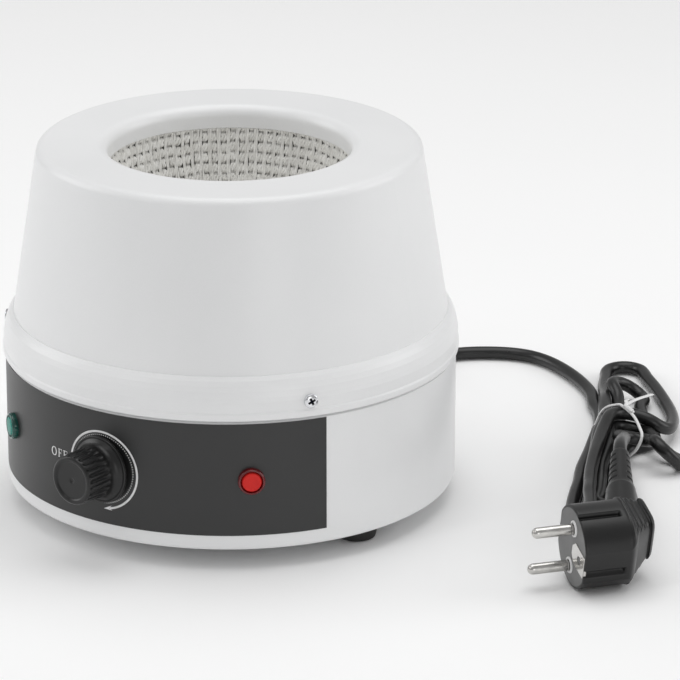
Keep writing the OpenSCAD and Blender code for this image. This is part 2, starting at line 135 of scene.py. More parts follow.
def lathe(profile, n, closed=False, wobble=None):
    """profile: (r, z) points; turned about Z. wobble(r, z, angle array) may change r."""
    p = np.asarray(profile, float)
    ang = np.arange(n) * 2 * math.pi / n
    v = np.zeros((n, len(p), 3))
    for j, (r, z) in enumerate(p):
        rr = np.full(n, r) if wobble is None else wobble(j, r, z, ang)
        v[:, j, 0], v[:, j, 1], v[:, j, 2] = rr * np.cos(ang), rr * np.sin(ang), z
    return v.reshape(-1, 3), grid_faces(n, len(p), True, closed)


def unit(v):
    v = np.asarray(v, float)
    return v / max(np.linalg.norm(v), 1e-12)


def tube(path, radius, sides=16, closed=False, squash=None, cap=True):
    """tube along path; radius a number or one per point; squash (a, b) makes an oval section"""
    p = np.asarray(path, float)
    n = len(p)
    r = np.full(n, float(radius)) if np.isscalar(radius) else np.asarray(radius, float)
    if closed:
        t = np.roll(p, -1, 0) - np.roll(p, 1, 0)
    else:
        t = np.gradient(p, axis=0)
    t /= np.linalg.norm(t, axis=1)[:, None]
    s = unit(np.cross([0, 0, 1.0], t[0])) if abs(t[0][2]) < 0.9 else unit(np.cross([1.0, 0, 0], t[0]))
    out = []
    for i in range(n):
        s = unit(s - t[i] * np.dot(s, t[i]))
        u = np.cross(t[i], s)
        for k in range(sides):
            a = 2 * math.pi * k / sides
            ca, sa = math.cos(a), math.sin(a)
            if squash:
                ca, sa = ca * squash[0], sa * squash[1]
            out.append(p[i] + r[i] * (ca * s + sa * u))
    f = grid_faces(n, sides, closed, True)
    if cap and not closed:
        f.append(tuple(range(sides)))
        f.append(tuple(n * sides - 1 - k for k in range(sides)))
    return np.array(out), f


def catmull(pts, step=1.0):
    pts = np.array(pts, float)
    t = np.r_[0, np.cumsum(np.linalg.norm(np.diff(pts, axis=0), axis=1) ** 0.5)]
    out, n = [], len(pts)
    for i in range(n - 1):
        p0 = pts[i - 1] if i else 2 * pts[0] - pts[1]
        p1, p2 = pts[i], pts[i + 1]
        p3 = pts[i + 2] if i + 2 < n else 2 * pts[-1] - pts[-2]
        t1, t2 = t[i], t[i + 1]
        t0 = t[i - 1] if i else t1 - (t2 - t1)
        t3 = t[i + 2] if i + 2 < n else t2 + (t2 - t1)
        k = max(2, int(np.linalg.norm(p2 - p1) / step))
        for s in np.linspace(t1, t2, k, endpoint=False):
            a1 = (t1 - s) / (t1 - t0) * p0 + (s - t0) / (t1 - t0) * p1
            a2 = (t2 - s) / (t2 - t1) * p1 + (s - t1) / (t2 - t1) * p2
            a3 = (t3 - s) / (t3 - t2) * p2 + (s - t2) / (t3 - t2) * p3
            b1 = (t2 - s) / (t2 - t0) * a1 + (s - t0) / (t2 - t0) * a2
            b2 = (t3 - s) / (t3 - t1) * a2 + (s - t1) / (t3 - t1) * a3
            out.append((t2 - s) / (t2 - t1) * b1 + (s - t1) / (t2 - t1) * b2)
    out.append(pts[-1])
    return np.array(out)


def spaced(c, step):
    d = np.r_[0, np.cumsum(np.linalg.norm(np.diff(c, axis=0), axis=1))]
    u = np.linspace(0, d[-1], int(round(d[-1] / step)) + 1)
    return np.stack([np.interp(u, d, c[:, i]) for i in range(3)], -1), d[-1]


# ---------------------------------------------------------------- material helpers
def nd(t, kind, **values):
    n = t.nodes.new(kind)
    for k, v in values.items():
        if k.startswith("in_"):
            key = k[3:].replace("_", " ")
            n.inputs[int(key) if key.isdigit() else key].default_value = v
        else:
            setattr(n, k, v)
    return n


def finish_of(name, dark, light, rough=(0.35, 0.45), bumps=((900, 3, 0.05, 0.0002),), patch=12.0,
              grain=None, stretch=(1, 1, 1), attr=None, edge=None, **shader):
    """A procedural finish: colour drifts between two tones, roughness drifts, and bumps give the grain.
    bumps: (scale, detail, strength, distance) per layer. shader: constants on the Principled sockets."""
    m = bpy.data.materials.new(name)
    m.use_nodes = True
    t = m.node_tree
    t.nodes.clear()
    out = nd(t, "ShaderNodeOutputMaterial")
    b = nd(t, "ShaderNodeBsdfPrincipled")
    for k, v in shader.items():
        b.inputs[k.replace("_", " ")].default_value = v
    t.links.new(b.outputs[0], out.inputs[0])
    co = nd(t, "ShaderNodeTexCoord")
    mp = nd(t, "ShaderNodeMapping")
    mp.inputs["Scale"].default_value = stretch
    t.links.new(co.outputs["Object"], mp.inputs[0])
    big = nd(t, "ShaderNodeTexNoise", in_Scale=patch, in_Detail=4.0, in_Roughness=0.55)
    t.links.new(mp.outputs[0], big.inputs["Vector"])
    fine = nd(t, "ShaderNodeTexNoise", in_Scale=grain or bumps[0][0], in_Detail=3.0)
    t.links.new(mp.outputs[0], fine.inputs["Vector"])
    mix = nd(t, "ShaderNodeMath", operation="ADD")
    half = nd(t, "ShaderNodeMath", operation="MULTIPLY", in_1=0.35)
    t.links.new(fine.outputs[0], half.inputs[0])
    big2 = nd(t, "ShaderNodeMath", operation="MULTIPLY", in_1=0.65)
    t.links.new(big.outputs[0], big2.inputs[0])
    t.links.new(half.outputs[0], mix.inputs[0])
    t.links.new(big2.outputs[0], mix.inputs[1])
    ramp = nd(t, "ShaderNodeValToRGB")
    ramp.color_ramp.elements[0].position, ramp.color_ramp.elements[1].position = 0.35, 0.65
    ramp.color_ramp.elements[0].color = (*dark, 1)
    ramp.color_ramp.elements[1].color = (*light, 1)
    t.links.new(mix.outputs[0], ramp.inputs[0])
    colour = ramp.outputs[0]
    if attr:
        a = nd(t, "ShaderNodeAttribute", attribute_name=attr[0])
        r2 = nd(t, "ShaderNodeValToRGB")
        r2.color_ramp.elements[0].color = (*attr[1], 1)
        r2.color_ramp.elements[1].color = (*attr[2], 1)
        t.links.new(a.outputs["Fac"], r2.inputs[0])
        mul = nd(t, "ShaderNodeMix", data_type="RGBA", blend_type="MULTIPLY")
        mul.inputs[0].default_value = 1.0
        t.links.new(colour, mul.inputs[6])
        t.links.new(r2.outputs[0], mul.inputs[7])
        colour = mul.outputs[2]
    t.links.new(colour, b.inputs["Base Color"])
    mr = nd(t, "ShaderNodeMapRange", in_From_Min=0.3, in_From_Max=0.7, in_To_Min=rough[0], in_To_Max=rough[1])
    t.links.new(mix.outputs[0], mr.inputs[0])
    t.links.new(mr.outputs[0], b.inputs["Roughness"])
    last = None
    for scale, detail, strength, distance in bumps:
        n = nd(t, "ShaderNodeTexNoise", in_Scale=float(scale), in_Detail=float(detail))
        t.links.new(mp.outputs[0], n.inputs["Vector"])
        bump = nd(t, "ShaderNodeBump", in_Strength=strength, in_Distance=distance)
        t.links.new(n.outputs[0], bump.inputs["Height"])
        if last:
            t.links.new(last.outputs[0], bump.inputs["Normal"])
        last = bump
    if last:
        t.links.new(last.outputs[0], b.inputs["Normal"])
    return m


def paint(node, mat):
    o = NODES[node]
    if o.data.materials:
        for i in range(len(o.data.materials)):
            o.data.materials[i] = mat
    else:
        o.data.materials.append(mat)


def srgb(v):
    v /= 255.0
    return v / 12.92 if v <= 0.04045 else ((v + 0.055) / 1.055) ** 2.4


def grey(v, warm=0.0):
    g = srgb(v)
    return (g * (1 + warm), g, g * (1 - warm))


WHITE = finish_of("powder_white", grey(232, -0.006), grey(238, -0.004), rough=(0.30, 0.40), patch=9.0, grain=2600,
                  bumps=((1500, 2, 0.06, 0.0002), (220, 2, 0.03, 0.0006)), Specular_IOR_Level=0.5, Coat_Weight=0.12,
                  Coat_Roughness=0.18)
ZINC = finish_of("zinc_sheet", (0.42, 0.43, 0.45), (0.56, 0.57, 0.58), rough=(0.34, 0.52), patch=60.0, grain=700,
                 bumps=((500, 2, 0.05, 0.0002),), Metallic=0.9)
NICKEL = finish_of("pin_nickel", (0.50, 0.49, 0.47), (0.66, 0.65, 0.63), rough=(0.14, 0.26), patch=200.0, grain=2500,
                   bumps=((1600, 2, 0.06, 0.0001),), Metallic=1.0, stretch=(1, 1, 1))
PANEL = finish_of("panel_film", grey(27, -0.01), grey(32, -0.01), rough=(0.34, 0.42), patch=14.0, grain=3000,
                  bumps=((2600, 2, 0.10, 0.0001),), Specular_IOR_Level=0.6)
BLACK = finish_of("black_plastic", grey(6), grey(9), rough=(0.26, 0.38), patch=90.0, grain=2500,
                  bumps=((1800, 2, 0.05, 0.0001),), Specular_IOR_Level=0.5)
BRASS = finish_of("brass", (0.52, 0.36, 0.13), (0.68, 0.5, 0.22), rough=(0.25, 0.42), patch=120.0, grain=1500,
                  bumps=((900, 2, 0.06, 0.0001),), Metallic=1.0)
STEEL = finish_of("steel", (0.40, 0.41, 0.42), (0.55, 0.55, 0.56), rough=(0.25, 0.42), patch=150.0, grain=1500,
                  bumps=((1200, 2, 0.06, 0.0001),), Metallic=1.0)
ALU = finish_of("aluminium", (0.58, 0.59, 0.6), (0.7, 0.71, 0.72), rough=(0.3, 0.46), patch=80.0, grain=1500,
                bumps=((1500, 2, 0.06, 0.0001),), Metallic=1.0)
CHROME = finish_of("nickel_plate", (0.62, 0.61, 0.59), (0.74, 0.73, 0.71), rough=(0.12, 0.24), patch=160.0, grain=2500,
                   bumps=((1600, 2, 0.03, 0.0001),), Metallic=1.0)
MOULD = finish_of("black_moulding", grey(30), grey(40), rough=(0.4, 0.55), patch=100.0, grain=2000,
                  bumps=((1800, 2, 0.08, 0.0001),))
GREEN = finish_of("green_lens", (0.0, 0.085, 0.055), (0.0, 0.16, 0.11), rough=(0.08, 0.16), patch=200.0, grain=1500,
                  bumps=((700, 1, 0.05, 0.0002),), Transmission_Weight=0.25, Coat_Weight=0.5, Coat_Roughness=0.06,
                  Emission_Color=(0.0, 0.6, 0.32, 1), Emission_Strength=0.05)
RED = finish_of("red_lens", (0.34, 0.002, 0.006), (0.5, 0.006, 0.012), rough=(0.08, 0.16), patch=200.0, grain=1500,
                bumps=((700, 1, 0.05, 0.0002),), Transmission_Weight=0.25, Coat_Weight=0.5, Coat_Roughness=0.06,
                Emission_Color=(1.0, 0.02, 0.02, 1), Emission_Strength=0.12)
WHITE_PLASTIC = finish_of("white_plastic", grey(226, 0.004), grey(236, 0.002), rough=(0.35, 0.5), patch=120.0, grain=2500,
                          bumps=((1800, 2, 0.06, 0.0001),), Subsurface_Weight=0.1, Subsurface_Radius=(0.002, 0.002, 0.002))
CLOTH = finish_of("glass_cloth", grey(206, 0.02), grey(228, 0.012), rough=(0.6, 0.8), patch=160.0, grain=3500,
                  bumps=((4200, 2, 0.35, 0.0002), (900, 2, 0.15, 0.0003)), Sheen_Weight=0.25, Sheen_Roughness=0.4)
WOOL = finish_of("glass_wool", (0.7, 0.62, 0.42), (0.85, 0.79, 0.62), rough=(0.85, 0.95), patch=70.0, grain=900,
                 bumps=((1100, 5, 0.9, 0.0012), (220, 3, 0.6, 0.002)), Sheen_Weight=0.3)
BOARD = finish_of("board", (0.01, 0.10, 0.04), (0.015, 0.16, 0.06), rough=(0.3, 0.4), patch=90.0, grain=900,
                  bumps=((800, 2, 0.05, 0.0001),), Coat_Weight=0.3)
YELLOW = finish_of("yellow_plastic", (0.6, 0.4, 0.05), (0.72, 0.5, 0.08), rough=(0.35, 0.45), patch=100.0, grain=1500,
                   bumps=((1500, 2, 0.05, 0.0001),))
WIRE = finish_of("wire_sheath", (0.05, 0.10, 0.3), (0.08, 0.15, 0.4), rough=(0.4, 0.5), patch=100.0, grain=1500,
                 bumps=((1500, 2, 0.05, 0.0001),))
RUBBER = finish_of("foot_rubber", grey(30), grey(44), rough=(0.6, 0.8), patch=110.0, grain=2200,
                   bumps=((1600, 3, 0.2, 0.0002),))
CORD = finish_of("cord_pvc", grey(17), grey(24), rough=(0.26, 0.36), patch=45.0, grain=1600,
                 bumps=((1400, 3, 0.10, 0.0002), (160, 2, 0.05, 0.001)), Specular_IOR_Level=0.5)
PLUG = finish_of("plug_pvc", grey(10), grey(15), rough=(0.3, 0.42), patch=60.0, grain=1800,
                 bumps=((2200, 2, 0.12, 0.0001),), Specular_IOR_Level=0.5)
# painted highlight: the plug face is the same black PVC as the body, painted light grey for the sheen of the front-left
# light
PLUG_FACE_PAINTED_SHEEN = finish_of("plug_face_painted_sheen", grey(112), grey(128), rough=(0.5, 0.62), patch=120.0, grain=1800,
                      bumps=((2200, 2, 0.2, 0.0001),), Specular_IOR_Level=0.5)
PRINT = finish_of("white_ink", grey(222), grey(236), rough=(0.45, 0.55), patch=200.0, grain=4000,
                  bumps=((3000, 2, 0.08, 0.00005),))

SLOT = {"white_enamel": WHITE, "zinc_sheet": ZINC, "panel_print": PANEL, "black_plastic": BLACK, "brass": BRASS,
        "steel": STEEL, "aluminium": ALU, "black_moulding": MOULD, "green_lens": GREEN, "red_lens": RED,
        "white_plastic": WHITE_PLASTIC, "glass_cloth": CLOTH, "glass_wool": WOOL, "board": BOARD,
        "yellow_plastic": YELLOW, "wire_sheath": WIRE, "chrome": CHROME, "foot_rubber": RUBBER, "cord_pvc": CORD,
        "plug_pvc": PLUG}
slots = {}
for part in frame["record"].get("subparts", []):
    pass
for name, o in NODES.items():
    key = o.data.materials[0].name.split(".")[0] if o.data.materials else ""
    slots[name] = key
    if key in SLOT:
        paint(name, SLOT[key])


# ---------------------------------------------------------------- mains cord
LEAD = [[0, .130, .028], [0, .136, .028], [-.0005, .143, .026], [-.002, .151, .0205],
        [-.005, .160, .013], [-.008, .168, .007], [-.010, .177, .0036], [-.009, .187, .0031], [-.004, .196, .0031],
        [.003, .203, .0031], [.012, .209, .0031], [.022, .2135, .0031], [.033, .2145, .0031], [.044, .211, .0031],
        [.056, .2045, .0031], [.067, .197, .0031], [.077, .1885, .0031], [.086, .1795, .0031]]
HANK = [(90, 175, 3), (97, 165, 3), (105, 150, 3), (113, 133, 3), (119, 115, 3), (126, 99, 3), (133, 82, 3), (139, 67, 3),
        (145, 54, 3), (152, 41, 3), (161, 30, 3), (170, 26, 3), (174, 32, 3), (169, 47, 3), (159, 61, 3), (149, 71, 3),
        (140, 82, 3.5), (134, 93, 5), (129, 103, 7), (123, 116, 8.5), (116, 132, 9), (108, 148, 8.5), (98, 165, 7),
        (88, 183, 5), (79, 200, 3.5), (74, 214, 3), (72, 223, 3), (74, 227, 3), (80, 226, 3), (90, 219, 3),
        (101, 209, 3), (112, 197, 3), (123, 184, 3.5), (133, 169, 5), (139, 155, 7), (140, 145, 9), (137, 142, 10),
        (131, 142, 11.5), (127, 141, 14), (123, 141, 15.5), (120, 137, 16), (122, 128, 16), (125, 117, 15),
        (130, 105, 14), (136, 92, 13), (143, 76, 12.5), (152, 58, 13), (162, 40, 14), (172, 25, 14.5), (182, 18, 14.5),
        (187, 20, 14.5), (184, 33, 13.5), (172, 53, 11), (158, 71, 7.5), (144, 89, 4.5), (134, 105, 3), (127, 122, 3),
        (120, 139, 3), (113, 154, 3.5), (105, 167, 5), (99, 176, 7), (95, 185, 8.5), (93, 192, 9), (94.5, 196, 7.5),
        (98.5, 193, 5.5), (106, 183, 4), (114, 173, 3), (122.5, 162.5, 3), (128.6, 156, 3), (134.2, 149.5, 3),
        (138, 144.5, 3), (138.5, 139.5, 3), (135.5, 136, 3), (131.8, 133.2, 3), (130.8, 128.5, 3), (133, 119.5, 3),
        (139, 108, 3), (147, 97, 3), (156, 85, 3.5), (166, 70, 5), (173, 54, 7), (171, 45, 8), (164, 49, 8.5),
        (155, 61, 9), (146, 77, 9), (138, 92, 9), (133, 105, 9.5), (127, 118, 10), (123, 130, 10.5), (121.2, 137.2, 10.5),
        (123, 141.5, 10.2), (127.2, 142, 9.8), (132.2, 139.7, 9.5), (137, 136.4, 9.4), (142, 133, 8.8), (147.5, 130, 7.4),
        (153, 126.8, 5.2), (158.1, 122.8, 4.0), (162.2, 119, 4.9), (163.4, 117.2, 7.2), (161.8, 116.8, 9.2),
        (158, 118.2, 9.9), (153.1, 119.7, 10), (147.8, 121.7, 10.2), (143, 123.9, 10.6), (139.1, 124.4, 11.2),
        (137.2, 122.6, 12), (137.2, 118.8, 13.2), (139.9, 111.5, 16), (144.7, 101.3, 20), (151, 88.9, 25)]
TAIL = [[.156, .080, .0285], [.163, .065, .0335], [.168, .0548, .035], [.1708, .050, .0337]]
TIE = [(110.1, 136.9, 8.0), (109.6, 138.0, 12.5), (110.2, 138.2, 16.0), (113.2, 138.4, 18.7), (117.6, 137.1, 20.2),
       (123.0, 135.9, 20.6), (127.1, 136.2, 20.0), (130.7, 135.4, 18.8), (136.0, 129.6, 17.6), (141.8, 121.1, 16.0),
       (145.1, 114.6, 13.5), (145.0, 113.2, 9.0), (142.0, 115.0, 4.0), (136.0, 119.5, 1.0), (127.0, 125.5, 0.7),
       (118.0, 131.5, 0.8), (112.0, 135.4, 3.0)]
PLUG_AT = np.array([187.5, -20.9, 18.3])
PLUG_X = np.array([-0.64945, -0.76041, 0.0])
PLUG_Y = np.array([0.19681, -0.16809, 0.96593])
PLUG_Z = np.array([-0.73450, 0.62732, 0.25882])
TILT = math.radians(18.6)


def plug_to_row(v):
    v = np.asarray(v, float)
    return PLUG_AT + v[..., 0:1] * PLUG_X + v[..., 1:2] * PLUG_Y + v[..., 2:3] * PLUG_Z


def tower_to_plug(v):
    """tower frame: z up the lead, turned by the tilt towards the back of the plug"""
    v = np.asarray(v, float)
    c, s = math.cos(TILT), math.sin(TILT)
    return np.stack([-22.6 + v[..., 0] * c - v[..., 2] * s, v[..., 1], v[..., 0] * s + v[..., 2] * c], -1)


def away(p, a, b, ra, rb):
    """pushes points out of a capsule with end radii ra, rb"""
    d = b - a
    t = np.clip(((p - a) @ d) / (d @ d), 0, 1)
    off = p - (a + t[:, None] * d)
    dist = np.maximum(np.linalg.norm(off, axis=1), 1e-6)
    need = ra + (rb - ra) * t
    push = np.maximum(need - dist, 0)
    return off / dist[:, None] * push[:, None]


BEND, STEPS = 9.0, 130


def route():
    c = catmull(np.concatenate([np.array(LEAD) * 1000, np.array(HANK, float), np.array(TAIL) * 1000]), 1.0)
    c, _ = spaced(c, 1.0)
    for _ in range(16):
        c[1:-1] = 0.25 * c[:-2] + 0.5 * c[1:-1] + 0.25 * c[2:]
    c, _ = spaced(c, 2.0)
    start = c.copy()
    n = len(c)
    idx = np.arange(n)
    hold = np.clip(np.minimum((idx - 6) / 8.0, (n - 1 - 10 - idx) / 8.0), 0, 1)[:, None]
    far = np.abs(idx[:, None] - idx[None, :]) > 8
    tie_a, tie_b = np.array([110.0, 137.0]), np.array([145.0, 113.0])
    body = (plug_to_row([0, 0, 0]), plug_to_row([-26, 0, 0]))
    nose = (plug_to_row([-26, 0, 0]), plug_to_row([-37, 0, 0]))
    tower = (plug_to_row(tower_to_plug([0, 0, 8.0])), plug_to_row(tower_to_plug([0, 0, 60.0])))
    for k in range(STEPS):
        gap = c[:, None, :] - c[None, :, :]
        dist = np.linalg.norm(gap, axis=2)
        near = far & (dist < 6.2)
        w = np.where(near, (6.2 - dist) / np.maximum(dist, 0.3), 0.0)
        # crossing strands part upwards and downwards more than sideways
        move = (gap * w[:, :, None]).sum(1) / np.maximum(near.sum(1), 1)[:, None] * 0.42
        move += away(c, *body, 21.6, 21.6) * 0.5 + away(c, *nose, 21.6, 15.0) * 0.5 + away(c, *tower, 13.6, 7.6) * 0.5
        for off in (3, 5, 7, 9, 11):  # no bend is tighter than BEND
            chord = c[off:] - c[:-off]
            span = np.linalg.norm(chord, axis=1)
            need = 2 * BEND * math.sin(min(2.0 * off / (2 * BEND), math.pi / 2))
            f = np.maximum(need - span, 0)[:, None] * chord / np.maximum(span, 0.3)[:, None] * 0.16
            move[off:] += f
            move[:-off] -= f
        for _ in range(6):
            move[1:-1] = 0.25 * move[:-2] + 0.5 * move[1:-1] + 0.25 * move[2:]
        c = c + move * hold * 1.3
        d = tie_b - tie_a
        t = np.clip(((c[:, :2] - tie_a) @ d) / (d @ d), 0, 1)
        gap_tie = np.linalg.norm(c[:, :2] - (tie_a + t[:, None] * d), axis=1)
        low = 3.1 + 1.3 * np.exp(-(gap_tie / 7.0) ** 2)
        lift = np.maximum(low - c[:, 2], 0)
        c[:, 2] += lift
        if k < STEPS - 8:
            s = c.copy()
            s[1:-1] = 0.25 * c[:-2] + 0.5 * c[1:-1] + 0.25 * c[2:]
            s[2:-2] = 0.5 * s[2:-2] + 0.25 * c[:-4] + 0.25 * c[4:]
            c = c + (s - c) * hold * (0.35 if k > STEPS - 14 else 0.14) + (start - c) * hold * 0.045
    c, length = spaced(c, 1.5)
    return c, length


cord_line, cord_len = route()
curve = bpy.data.curves.new("mains_cord", "CURVE")
curve.dimensions = "3D"
sp = curve.splines.new("POLY")
sp.points.add(len(cord_line) - 1)
for p, v in zip(sp.points, cord_line * MM):
    p.co = (*map(float, v), 1.0)
sp.use_smooth = True
curve.bevel_depth = 0.003
curve.bevel_resolution = 5
curve.use_fill_caps = True
curve.materials.append(CORD)
cord = add("mains_cord", curve)
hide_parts("power_cord", "cord_bundle", "cord_tail")

# ---------------------------------------------------------------- twisted tie
TIE_A, TIE_U, TIE_N = np.array([110.0, 137.0]), np.array([0.8248, -0.5656]), np.array([0.5656, 0.8248])
LEAN = 0.42


def tie_point(u, z):
    xy = TIE_A + u * TIE_U + (LEAN * z - 1.0) * TIE_N
    return np.array([xy[0], xy[1], z])


def hull(points):
    pts = sorted(map(tuple, points))

    def half(seq):
        out = []
        for p in seq:
            while len(out) > 1 and ((out[-1][0] - out[-2][0]) * (p[1] - out[-2][1])
                                    - (out[-1][1] - out[-2][1]) * (p[0] - out[-2][0])) <= 0:
                out.pop()
            out.append(p)
        return out[:-1]

    return np.array(half(pts) + half(pts[::-1]))


gap = (cord_line[:, :2] - TIE_A) @ TIE_N - (LEAN * cord_line[:, 2] - 1.0)
along = (cord_line[:, :2] - TIE_A) @ TIE_U
held = []
for i in range(len(cord_line) - 1):
    if gap[i] * gap[i + 1] <= 0 and -15 < along[i] < 42:
        t = gap[i] / (gap[i] - gap[i + 1] + 1e-12)
        held.append((along[i] + (along[i + 1] - along[i]) * t, cord_line[i, 2] + (cord_line[i + 1, 2] - cord_line[i, 2]) * t))
disc = [(u + 3.95 * math.cos(a), max(z + 3.95 * math.sin(a), 0.75)) for u, z in held for a in np.linspace(0, 2 * math.pi, 24, False)]
ends = np.array(disc)
mid, half = (ends.max(0) + ends.min(0)) / 2, (ends.max(0) - ends.min(0)) / 2
disc += [(mid[0] + 0.98 * half[0] * math.cos(a), max(mid[1] + 0.98 * half[1] * math.sin(a), 0.75))
         for a in np.linspace(0, 2 * math.pi, 72, False)]
loop = hull(disc)
loop = np.concatenate([loop, loop[:1]])
seg = np.r_[0, np.cumsum(np.linalg.norm(np.diff(loop, axis=0), axis=1))]
uu = np.linspace(0, seg[-1], 161)[:-1]
loop = np.stack([np.interp(uu, seg, loop[:, k]) for k in range(2)], -1)
for _ in range(4):
    loop = 0.25 * np.roll(loop, 1, 0) + 0.5 * loop + 0.25 * np.roll(loop, -1, 0)
ring = np.array([tie_point(u, z) for u, z in loop])
ring[:, 2] = np.maximum(ring[:, 2], 0.75)
b = Build()
b.put(*tube(ring, 0.72, 12, closed=True, squash=(1.0, 0.8)))
top = loop[:, 1].max()
k0, k1 = tie_point(13.5, top + 0.9), tie_point(21.5, top + 0.5)
for ph in (0, math.pi):
    u = np.linspace(0, 1, 60)
    axis = unit(k1 - k0)
    s1 = unit(np.cross(axis, [0, 0, 1]))
    s2 = np.cross(axis, s1)
    a = ph + u * 2 * math.pi * 3.0
    pts = k0 + (k1 - k0) * u[:, None] + 0.62 * (np.cos(a)[:, None] * s1 + np.sin(a)[:, None] * s2)
    b.put(*tube(pts, 0.62, 10, squash=(1.0, 0.85)))
e0 = k0 + np.array([0.4, 1.0, 0.2])
flat = catmull([e0, e0 + [0.6, 4.5, 0.3], e0 + [1.2, 10.5, 0.0], e0 + [1.6, 16.5, -0.7], e0 + [1.7, 21.0, -1.3]], 0.8)
b.put(*tube(flat, 1.0, 12, squash=(1.15, 0.32)))
flat2 = catmull([e0 + [1.2, -0.8, 0.2], e0 + [-1.6, 2.2, 0.5], e0 + [-2.8, 5.4, 0.0], e0 + [-3.2, 7.6, -0.8]], 0.8)
b.put(*tube(flat2, 0.8, 12, squash=(1.1, 0.35)))
tie = b.done("cord_tie", mats=(WHITE_PLASTIC,))
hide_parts("twist_tie")

# ---------------------------------------------------------------- plug
AL = 384
al = np.arange(AL) * 2 * math.pi / AL


def power(v, n):
    return np.sign(v) * np.abs(v) ** (2.0 / n)


GROOVES = ((349.0, 3.0, 2.6), (260.5, 3.2, 2.6), (169.0, 3.0, 2.6), (80.5, 3.2, 2.6))


def section(x, grow=0.0, groove=0.0, ridge=0.0):
    """cross-section of the plug at x: round with flats, running into a raised rounded rectangle at the back"""
    c, sn = np.cos(al), np.sin(al)
    r = 18.2 + grow
    y0, z0 = r * c, np.clip(r * sn, -16.5 - grow, 16.5 + grow)
    if groove:
        for at, wide, deep in GROOVES:
            off = np.degrees(np.angle(np.exp(1j * (al - math.radians(at))))) * math.pi / 180 * 18.2
            k = groove * deep * np.clip((wide / 2 + 0.2 - np.abs(off)) / 0.35, 0, 1)
            rad = np.hypot(y0, z0)
            y0, z0 = y0 * (1 - k / rad), z0 * (1 - k / rad)
    t = min(max((-20.6 - x) / 15.0, 0.0), 1.0)
    w, lo, hi = 15.6 + (9.3 - 15.6) * t, -16.2 + 14.6 * t, 16.4
    y1 = (w + grow) * power(c, 5)
    z1 = (lo + hi) / 2 + ((hi - lo) / 2 + grow) * power(sn, 5)
    m = min(t * 3.2, 1.0)
    y, z = y0 * (1 - m) + y1 * m, z0 * (1 - m) + z1 * m
    if ridge:
        wd = np.clip((np.abs(c) - 0.55) / 0.12, 0, 1)
        y = y + np.sign(c) * ridge * wd
    return np.stack([np.full(AL, float(x)), y, z], -1)


rings = [section(0.0, -1.2), section(0.0, -0.75), section(-0.12, -0.3, 0.5), section(-0.45, -0.05, 1.0), section(-0.8, 0.0, 1.0),
         section(-0.95, 0, 1.0), section(-1.6, 0, 1.0)]
rings += [section(x, 0, 1.0) for x in np.linspace(-2.5, -18.2, 14)]
rings += [section(-18.5, 0, 0.75), section(-18.8, 0), section(-19.8), section(-20.5)]
x = -20.7
rings.append(section(x))
x = -21.6
for k in range(4):
    for dx, h in ((0, 0), (0.3, 0.0), (0.5, 0.55), (0.95, 0.6), (1.25, 0.55), (1.45, 0.0), (1.9, -0.2), (2.3, -0.2)):
        rings.append(section(x - dx, 0.0, ridge=h))
    x -= 2.55
rings += [section(xx) for xx in (-31.9, -32.6, -33.3)]
rings += [section(-34.0, -0.1), section(-34.15, 0.5), section(-34.3, 1.0), section(-34.6, 1.15),
          section(-35.2, 1.15), section(-35.7, 1.05), section(-35.95, 0.75), section(-36.0, 0.2), section(-35.9, -0.5),
          section(-35.6, -0.9)]
b = Build()
loft = np.array(rings)
b.put(loft.reshape(-1, 3), [q[::-1] for q in grid_faces(len(rings), AL, False, True)])
# end caps; the front cap takes the light grey face material, a painted highlight on black PVC
for ring_pts, out in ((loft[0], 1), (loft[-1], -1)):
    n_in = 5
    disc_v = [ring_pts * 1.0]
    cen = ring_pts.mean(0)
    for q in (0.8, 0.55, 0.3):
        p = cen + (ring_pts - cen) * q
        p[:, 0] += (0.0 if out > 0 else -0.25 * (1 - q))
        disc_v.append(p)
    tipc = cen.copy()
    tipc[0] += (0.0 if out > 0 else -0.25)
    vv = np.concatenate(disc_v + [tipc[None]])
    ff = grid_faces(4, AL, False, True)
    ff += [(3 * AL + i, 4 * AL, 3 * AL + (i + 1) % AL) for i in range(AL)]
    b.put(vv, ff if out > 0 else [q[::-1] for q in ff], 1 if out > 0 else 0)

# neck and ribbed strain relief
prof = [(9.6, 4.0), (9.0, 10.0), (8.5, 14.0), (8.0, 18.0), (7.5, 23.0), (7.1, 28.0), (6.8, 32.0), (6.6, 35.0), (6.45, 36.2),
        (6.05, 36.9), (5.8, 37.6)]
z = 38.6
marks = []
for k in range(5):
    z0 = 40 + 4.6 * k
    marks += [(z0 - 0.35, 0), (z0 - 0.06, 0), (z0 + 0.06, 1), (z0 + 0.85, 1), (z0 + 1.64, 1), (z0 + 1.76, 0), (z0 + 2.05, 0),
              (z0 + 3.1, 0)]
marks += [(63.2, 0), (63.7, -1), (63.95, -2)]
rel = []
for zz, kind in marks:
    rr = 5.8 - (zz - 36) * 1.8 / 28
    if kind < 0:
        rr -= 0.12 if kind == -1 else 0.5
    rel.append((rr, zz))
n_neck = len(prof)
kinds = [0] * n_neck + [k for _, k in marks]
prof = prof + rel + [(3.1, 64.0)]
kinds.append(0)


def slot_wobble(j, r, z, ang):
    rr = np.full(len(ang), r)
    if kinds[j] == 1:
        rr = np.where(np.abs(r * np.cos(ang)) > 2.3, 3.7, r)
    return rr


v, f = lathe(prof, 96, wobble=slot_wobble)
b.put(tower_to_plug(v), f)
plug = b.done("plug_moulding", mats=(PLUG, PLUG_FACE_PAINTED_SHEEN), move=plug_to_row)
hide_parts("plug_body")

